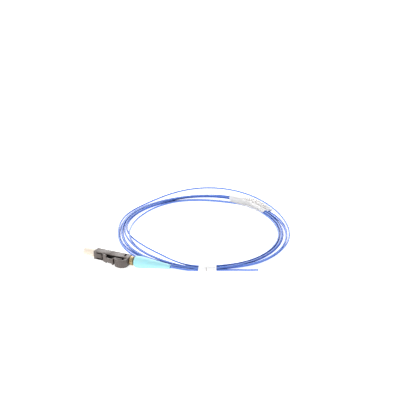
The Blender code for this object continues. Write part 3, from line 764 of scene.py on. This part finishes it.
# Where each passing lies under the tie: its radius less COIL_RADIUS and its height, in mm
TIE_PASSES = (
    (0.5, 0.75), (0.95, 1.53), (-0.85, 1.53), (-0.4, 2.31),
    (0.05, 1.53), (-1.3, 0.75), (-0.4, 0.75), (1.4, 0.75),
)
# How high all strands are held at each angle by the tie's film, and the sleeved tracks by the label's, in mm
TIE_LIFTS = ((-76, 0.0), (-67, 0.3), (-55, 0.3), (-46, 0.0))
LABEL_LIFTS = ((52, 0.0), (60, 0.35), (97, 0.35), (108, 0.0))
SLEEVED_TRACKS = (2, 3, 4, 5)
# How far out the bundle may reach at each angle, in mm past COIL_RADIUS: the label holds it in
REACHES = ((-61, 6.0), (45, 6.0), (60, 2.6), (96, 2.6), (116, 6.0))
STEPS_A_TURN = 144
# Steps from the tie within which strands keep their places there, and beyond which they are free
HELD_STEPS = 2.5
FREE_STEPS = 14.0
# How far a strand is raised at a time, in mm, and how many times at most
CLIMB = 0.05
CLIMBS = 120
EASING_STEPS = 4
SETTLING_ROUNDS = 30
LAST_SMOOTHINGS = 6
SMOOTHING = 0.4
FINE_STEPS = 16
LEAD_COUNT = 18
TAIL_COUNT = 20

# The lead from the boot and the free end, as in the part: along the plug from its nose, across it, height
LEAD_ROUTE = (
    (42.4 * MM, 1.68 * MM, 3.70 * MM),
    (44.2 * MM, 1.84 * MM, 3.75 * MM),
    (45.8 * MM, 2.15 * MM, 3.60 * MM),
    (47.4 * MM, 3.00 * MM, 3.10 * MM),
    (49.0 * MM, 4.35 * MM, 2.40 * MM),
    (50.6 * MM, 5.80 * MM, 1.75 * MM),
    (52.2 * MM, 7.10 * MM, 1.25 * MM),
)
TAIL_ROUTE = (
    (68.6 * MM, 16.90 * MM, 0.45 * MM),
    (71.0 * MM, 18.10 * MM, 0.45 * MM),
    (73.4 * MM, 19.30 * MM, 0.45 * MM),
    (75.9 * MM, 20.60 * MM, 0.45 * MM),
    (78.8 * MM, 21.90 * MM, 0.45 * MM),
    (81.4 * MM, 23.30 * MM, 0.45 * MM),
    (84.1 * MM, 24.70 * MM, 0.45 * MM),
)


def place_among(stations, degrees):
    """The index of the last station before an angle, and the share of the way on to the next."""
    degrees = (degrees - stations[0][0]) % 360 + stations[0][0]
    index = max(i for i in range(len(stations)) if stations[i][0] <= degrees)
    start = stations[index]
    end = stations[(index + 1) % len(stations)]
    return index, (degrees - start[0]) / ((end[0] - start[0]) % 360)


def curve_at(start, slope_in, end, slope_out, t):
    """A point on a smooth curve from start to end, with its slopes there given."""
    return (
        start * (2 * t ** 3 - 3 * t ** 2 + 1) + slope_in * (t ** 3 - 2 * t ** 2 + t)
        + end * (3 * t ** 2 - 2 * t ** 3) + slope_out * (t ** 3 - t ** 2)
    )


def between(stations, degrees, value_of):
    """The value at an angle, on a smooth curve through the stations, round the whole circle."""
    index, share = place_among(stations, degrees)
    before = stations[index - 1]
    start = stations[index]
    end = stations[(index + 1) % len(stations)]
    after = stations[(index + 2) % len(stations)]
    span = (end[0] - start[0]) % 360
    slope_in = (value_of(end) - value_of(before)) / ((end[0] - before[0]) % 360) * span
    slope_out = (value_of(after) - value_of(start)) / ((after[0] - start[0]) % 360) * span
    return curve_at(value_of(start), slope_in, value_of(end), slope_out, share)


def eased_at(stations, degrees):
    """The value at an angle, eased from each station to the next."""
    index, share = place_among(stations, degrees)
    start = stations[index]
    end = stations[(index + 1) % len(stations)]
    return start[1] + (end[1] - start[1]) * share * share * (3 - 2 * share)


def hold_at(i):
    """1 under the tie, 0 well away from it."""
    from_tie = abs((i + STEPS_A_TURN / 2) % STEPS_A_TURN - STEPS_A_TURN / 2)
    share = min(max((FREE_STEPS - from_tie) / (FREE_STEPS - HELD_STEPS), 0), 1)
    return share * share * (3 - 2 * share)


def lowest_height(seen, lean, floor, placed):
    """The lowest height at which a strand, moved along the line of sight, clears those already placed."""
    thick = FIBRE_DIAMETER / MM
    height = floor
    for _ in range(CLIMBS):
        offset = seen - lean * (height - thick / 2)
        if all(math.hypot(offset - other[0], height - other[1]) >= thick for other in placed):
            break
        height += CLIMB
    return height


def eased_heights(heights):
    """Each height raised to the highest near it, then averaged with its neighbours."""
    count = len(heights)
    raised = []
    for i in range(count):
        raised.append(max(heights[max(i - EASING_STEPS, 0):i + EASING_STEPS + 1]))
    eased = []
    for i in range(count):
        near = raised[max(i - EASING_STEPS, 0):i + EASING_STEPS + 1]
        eased.append(sum(near) / len(near))
    return eased


def wind_turns():
    """Lays turn after turn, each over those before it. Gives offsets and heights in mm for every step."""
    base = FIBRE_DIAMETER / MM / 2
    placed = [[] for _ in range(STEPS_A_TURN)]
    path = []
    for turn, track in enumerate(TRACK_OF_TURN):
        seen = []
        leans = []
        floors = []
        heights = []
        for step in range(STEPS_A_TURN):
            degrees = TIE_ANGLE + 360 * step / STEPS_A_TURN
            lean = lean_at(degrees)
            offset = between(TRACKS, degrees, lambda station: station[1][track])
            floor = base + eased_at(TIE_LIFTS, degrees)
            if track in SLEEVED_TRACKS:
                floor += eased_at(LABEL_LIFTS, degrees)
                if lean > 1:
                    floor = max(floor, base + (offset - eased_at(REACHES, degrees)) / lean)
            floors.append(floor)
            seen.append(offset)
            leans.append(lean)
            heights.append(lowest_height(offset, lean, floor, placed[step]))
        heights = eased_heights(heights)
        for step in range(STEPS_A_TURN):
            hold = hold_at(step)
            passing = TIE_PASSES[turn if step < STEPS_A_TURN / 2 else turn + 1]
            offset = seen[step] - leans[step] * (heights[step] - base)
            offset += (passing[0] - offset) * hold
            height = heights[step] + (passing[1] - heights[step]) * hold
            placed[step].append((offset, height))
            path.append([offset, height, turn * STEPS_A_TURN + step, floors[step]])
    for beyond in (-2, -1):
        path.insert(beyond + 2, [*TIE_PASSES[0], beyond, base])
    for beyond in (0, 1):
        path.append([*TIE_PASSES[-1], len(TRACK_OF_TURN) * STEPS_A_TURN + beyond, base])
    return path


def lean_at(degrees):
    """How far a strand seems to move outwards for each unit that it is raised."""
    return math.cos(math.radians(degrees) - VIEW_DIRECTION) / math.tan(CAMERA_ELEVATION)


def slide_along_sight(point, rise):
    """Raises a point of the path and keeps it where the camera sees it."""
    point[0] -= rise * lean_at(TIE_ANGLE + 360 * point[2] / STEPS_A_TURN)
    point[1] += rise


def smooth(path, free):
    """Moves each point part of the way to the middle of its two neighbours."""
    for n in range(1, len(path) - 1):
        for axis in (0, 1):
            middle = (path[n - 1][axis] + path[n + 1][axis]) / 2
            path[n][axis] += (middle - path[n][axis]) * SMOOTHING * min(4 * free[n], 1)


def part_strands(members):
    """Slides the strands of one section that touch a little apart."""
    thick = FIBRE_DIAMETER / MM
    for a in range(len(members)):
        for b in range(a):
            first, second = sorted((members[a], members[b]), key=lambda point: point[1])
            gap = math.hypot(first[0] - second[0], first[1] - second[1])
            if gap < thick:
                rise = (thick - gap) / 2 * (1 - hold_at(first[2]))
                slide_along_sight(first, -rise)
                slide_along_sight(second, rise)


def settle(path):
    """Eases strands that still touch a diameter apart and keeps the fibre's curve smooth."""
    sections = {}
    for point in path:
        sections.setdefault(point[2] % STEPS_A_TURN, []).append(point)
    free = [1 - hold_at(point[2]) for point in path]
    for _ in range(SETTLING_ROUNDS):
        smooth(path, free)
        for members in sections.values():
            part_strands(members)
        for point in path:
            slide_along_sight(point, max(point[3] - point[1], 0))
    for _ in range(LAST_SMOOTHINGS):
        smooth(path, free)
    return path


def on_coil(degrees, radius, height):
    angle = math.radians(degrees)
    return COIL_CENTRE + Vector((radius * math.cos(angle), radius * math.sin(angle), height))


def smooth_path(points, count):
    """Count points, evenly spaced, on a smooth curve through the given ones."""
    fine = []
    for i in range(len(points) - 1):
        before = points[max(i - 1, 0)]
        start = points[i]
        end = points[i + 1]
        after = points[min(i + 2, len(points) - 1)]
        for step in range(FINE_STEPS):
            fine.append(curve_at(start, (end - before) / 2, end, (after - start) / 2, step / FINE_STEPS))
    fine.append(points[-1])
    reach = [0.0]
    for i in range(1, len(fine)):
        reach.append(reach[-1] + (fine[i] - fine[i - 1]).length)
    spaced = []
    i = 0
    for step in range(count):
        target = reach[-1] * step / (count - 1)
        while i < len(reach) - 2 and reach[i + 1] < target:
            i += 1
        spaced.append(fine[i].lerp(fine[i + 1], (target - reach[i]) / (reach[i + 1] - reach[i])))
    return spaced


def from_plug(route):
    return [Vector((PLUG_X + along, PLUG_Y + across, height)) for along, across, height in route]


def fibre_path(turns):
    """The fibre's points: its lead from the boot, its wound turns and its free end."""
    wound = []
    for offset, height, i, _ in turns:
        wound.append(on_coil(TIE_ANGLE + 360 * i / STEPS_A_TURN, COIL_RADIUS + offset * MM, height * MM))
    lead = from_plug(LEAD_ROUTE)
    tail = from_plug(TAIL_ROUTE)
    start = smooth_path(lead + wound[:3], LEAD_COUNT)[:-1]
    end = smooth_path(wound[-3:] + tail, TAIL_COUNT)[1:]
    return start + wound[2:-2] + end


def add_fibre(finish, turns):
    points = fibre_path(turns)
    curve = bpy.data.curves.new("fibre_cord", "CURVE")
    curve.dimensions = "3D"
    curve.bevel_depth = FIBRE_DIAMETER / 2
    curve.bevel_resolution = 4
    curve.use_fill_caps = True
    spline = curve.splines.new("POLY")
    spline.points.add(len(points) - 1)
    for target, point in zip(spline.points, points):
        target.co = (*point, 1.0)
    curve.materials.append(finish)
    cord = bpy.data.objects.new("fibre_cord", curve)
    bpy.context.scene.collection.objects.link(cord)
    return cord


# Tie and label

def wrap_mesh(angle, length, steps, sides, section):
    """A sleeve round the bundle.

    section(along, turn) gives a shift in degrees, then the outer and the inner radius and height in metres.
    """
    half_turn = math.degrees(length / 2 / COIL_RADIUS)

    def build(bm):
        uv = bm.loops.layers.uv.new("UVMap")
        outer = []
        inner = []
        for step in range(steps + 1):
            along = step / steps
            outer_ring = []
            inner_ring = []
            for side in range(sides):
                turn = 2 * math.pi * side / sides
                shift, out_place, in_place = section(along, turn)
                degrees = angle + half_turn * (2 * along - 1) + shift
                outer_ring.append(bm.verts.new(on_coil(degrees, *out_place)))
                inner_ring.append(bm.verts.new(on_coil(degrees, *in_place)))
            outer.append(outer_ring)
            inner.append(inner_ring)
        for rings in (outer, inner):
            for step in range(steps):
                for side in range(sides):
                    nearby = (side + 1) % sides
                    here = rings[step]
                    there = rings[step + 1]
                    face = bm.faces.new((here[side], here[nearby], there[nearby], there[side]))
                    places = ((step, side), (step, side + 1), (step + 1, side + 1), (step + 1, side))
                    for loop, (s, t) in zip(face.loops, places):
                        loop[uv].uv = (s / steps, t / sides)
        for end in (0, -1):
            for side in range(sides):
                nearby = (side + 1) % sides
                bm.faces.new((outer[end][side], outer[end][nearby], inner[end][nearby], inner[end][side]))
    return mesh_from(build)


def add_tie(finish):
    """A film wrapped round the bundle in a rounded box, its ends askew, with a flap near its middle."""
    middle = COIL_RADIUS + TIE_OUTWARD

    def section(along, turn):
        across = -math.copysign(abs(math.cos(turn)) ** TIE_BOXINESS, math.cos(turn))
        up = -math.copysign(abs(math.sin(turn)) ** TIE_BOXINESS, math.sin(turn))
        ripple = TIE_RIPPLE * math.sin(TIE_RIPPLES_ROUND * turn + TIE_RIPPLE_TWIST * along) - TIE_RIPPLE
        if TIE_FLAP[0] < along < TIE_FLAP[1]:
            ripple += TIE_FLAP_RISE
        places = []
        for grow in (ripple, ripple - FILM):
            height = TIE_TOP / 2 + (TIE_TOP / 2 + grow) * up
            places.append((middle + (TIE_HALF + grow) * across, max(height, FILM_OFF_FLOOR)))
        shift = TIE_ASKEW * TIE_HALF / MM * across
        return shift, places[0], places[1]

    mesh = wrap_mesh(TIE_ANGLE, TIE_WIDTH, *TIE_MESH, section)
    return add_piece("tie_wrap", mesh, Matrix(), finish, "plug", "white_tape", "tie_band", smooth=60)


# The label's section, round in degrees from its raised outer edge over the top:
# how far past COIL_RADIUS and how high, in mm
LABEL_SECTION = (
    (0, (4.4, 4.2)),
    (30, (3.6, 4.35)),
    (75, (1.6, 3.8)),
    (115, (-0.3, 2.9)),
    (145, (-1.6, 1.9)),
    (172, (-2.5, 1.1)),
    (188, (-2.7, 0.6)),
    (208, (-2.4, 0.15)),
    (250, (0.0, 0.12)),
    (285, (1.6, 0.12)),
    (312, (3.0, 1.0)),
    (340, (4.0, 2.9)),
)
# The degrees of the section that lie over the strands, and how far, in mm, they keep from a strand's middle
LABEL_TOP = (20.0, 175.0)
LABEL_CLEARANCE = 0.68
# How the sleeve changes towards its ends: the higher the power, the nearer the end
LABEL_ENDS = 3
LABEL_DROP_POWER = 1.3
LABEL_RIGHT_DROP = 0.48
LABEL_LEFT_DROP = 0.15
LABEL_RIGHT_NARROWING = 0.14
LABEL_LEFT_SHIFT = 0.5
LABEL_RIGHT_SHIFT = 0.25
# A place inside the sleeve, in mm, and the shares of the way to it at which the inner face lies
LABEL_CORE = (0.7, 2.0)
LABEL_INWARD = (1 / 15, 1 / 10)
LABEL_MESH = (40, 72)


def height_over(strands, degrees, across):
    """How high a film lies that clears the strands at an angle, in mm."""
    thick = FIBRE_DIAMETER / MM
    step = round((degrees - TIE_ANGLE) % 360 / 360 * STEPS_A_TURN) % STEPS_A_TURN
    lowest = 0
    for offset, height in strands[step]:
        if abs(across - offset) < LABEL_CLEARANCE and height < LABEL_HEIGHT / MM - thick:
            lowest = max(lowest, height + math.sqrt(LABEL_CLEARANCE ** 2 - (across - offset) ** 2))
    return lowest


def add_label(finish, strands):
    """A film sleeve pressed flat over the bundle, its outer edge raised, lower towards both ends."""
    def section(along, turn):
        degrees = math.degrees(turn)
        across = between(LABEL_SECTION, degrees, lambda station: station[1][0])
        up = between(LABEL_SECTION, degrees, lambda station: station[1][1])
        right_end = (1 - along) ** LABEL_ENDS
        left_end = along ** LABEL_ENDS
        up *= 1 - LABEL_RIGHT_DROP * (1 - along) ** LABEL_DROP_POWER - LABEL_LEFT_DROP * left_end
        if across > 0:
            across *= 1 - LABEL_RIGHT_NARROWING * right_end
        place = LABEL_ANGLE + math.degrees(LABEL_LENGTH / COIL_RADIUS) * (along - 0.5)
        if LABEL_TOP[0] < degrees < LABEL_TOP[1]:
            up = max(up, height_over(strands, place, across))
        shift = across * (LABEL_LEFT_SHIFT * left_end - LABEL_RIGHT_SHIFT * right_end)
        inner_across = across + (LABEL_CORE[0] - across) * LABEL_INWARD[0]
        inner_up = up + (LABEL_CORE[1] - up) * LABEL_INWARD[1]
        outer = (COIL_RADIUS + across * MM, max(up * MM, FILM_OFF_FLOOR))
        return shift, outer, (COIL_RADIUS + inner_across * MM, inner_up * MM)

    mesh = wrap_mesh(LABEL_ANGLE, LABEL_LENGTH, *LABEL_MESH, section)
    return add_piece("label_wrap", mesh, Matrix(), finish, "plug", "label_film", "label_sleeve", smooth=60)


# Stage, light and camera

FLOOR_SIDE = 3.0
FLOOR_DROP = 0.00002
# Each light's name, its place from the middle of the coil, its size and its power
LIGHTS = (
    ("top_light", (-0.2, 0.1, 0.9), 1.2, 3.2),
    ("back_light", (-0.54, 1.1, 0.86), 1.2, 15.5),
    ("left_light", (-0.75, -0.75, 0.45), 0.7, 2.7),
)
SURROUNDINGS_STRENGTH = 0.65


def add_camera():
    """The camera stands so that the middle of the coil falls on VIEW_CENTRE_PIXEL."""
    focal = CAMERA_DISTANCE / METRES_A_PIXEL
    back = Vector((0, -math.cos(CAMERA_ELEVATION), math.sin(CAMERA_ELEVATION)))
    right = Vector((1, 0, 0))
    up = back.cross(right)
    half = PICTURE_SIDE / 2
    ray = right * (VIEW_CENTRE_PIXEL[0] - half) - up * (VIEW_CENTRE_PIXEL[1] - half) - back * focal
    from_centre = -ray.normalized() * CAMERA_DISTANCE
    nose = Vector((PLUG_X, PLUG_Y, 0))
    turned = Matrix.Rotation(CAMERA_YAW, 3, "Z") @ (from_centre - NOSE_FROM_VIEW_CENTRE)
    camera = bpy.data.objects.new("camera", bpy.data.cameras.new("camera"))
    bpy.context.scene.collection.objects.link(camera)
    camera.location = nose + turned
    camera.rotation_euler = (math.pi / 2 - CAMERA_ELEVATION, 0, CAMERA_YAW)
    camera.data.sensor_width = SENSOR_WIDTH
    camera.data.lens = focal * SENSOR_WIDTH / PICTURE_SIDE
    camera.data.clip_start = CLIP_START
    bpy.context.scene.camera = camera
    bpy.context.scene.view_settings.view_transform = "Standard"


def add_floor():
    made, tree, shader, place = principled("white_sweep", (0.95, 0.95, 0.95), 0.9)
    shader.inputs["Specular IOR Level"].default_value = 0.0
    shader.inputs["Emission Color"].default_value = (1.0, 1.0, 1.0, 1.0)
    shader.inputs["Emission Strength"].default_value = 0.7
    tree.links.new(remap(tree, noise(tree, place, 30), 0.85, 0.95), shader.inputs["Roughness"])
    side = FLOOR_SIDE
    corners = [(-side, -side, 0), (side, -side, 0), (side, side, 0), (-side, side, 0)]
    mesh = bpy.data.meshes.new("floor")
    mesh.from_pydata(corners, [], [(0, 1, 2, 3)])
    mesh.materials.append(made)
    floor = bpy.data.objects.new("floor", mesh)
    floor.location.z = -FLOOR_DROP
    bpy.context.scene.collection.objects.link(floor)


def add_area(name, place, aim, size, power):
    light = bpy.data.lights.new(name, "AREA")
    light.shape = "DISK"
    light.size = size
    light.energy = power
    item = bpy.data.objects.new(name, light)
    item.location = place
    item.rotation_euler = (aim - place).to_track_quat("-Z", "Y").to_euler()
    bpy.context.scene.collection.objects.link(item)


def add_light():
    for name, offset, size, power in LIGHTS:
        add_area(name, COIL_CENTRE + Vector(offset), COIL_CENTRE, size, power)
    world = bpy.data.worlds.new("surroundings")
    world.use_nodes = True
    background = world.node_tree.nodes["Background"]
    background.inputs["Color"].default_value = (1.0, 1.0, 1.0, 1.0)
    background.inputs["Strength"].default_value = SURROUNDINGS_STRENGTH
    bpy.context.scene.world = world


def main():
    black = black_plastic()
    add_housing(black, painted_shade_plastic())
    add_rear_cap(black)
    add_latch(black)
    add_trigger(black)
    add_crimp_body(brass())
    add_boot(aqua_rubber())
    add_dust_cap(cap_plastic())
    ceramic = zirconia()
    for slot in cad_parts["ferrule"].material_slots:
        slot.material = ceramic

    tie = add_tie(tie_film())
    turns = settle(wind_turns())
    strands = [[] for _ in range(STEPS_A_TURN)]
    for offset, height, i, _ in turns:
        strands[i % STEPS_A_TURN].append((offset, height))
    label = add_label(label_film(), strands)
    cord = add_fibre(fibre_plastic(), turns)
    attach(cord, "plug")
    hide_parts("fibre_lead", "fibre_coil", "fibre_stray_turn", "fibre_chord_turn", "fibre_tail")

    add_floor()
    add_light()
    add_camera()


main()
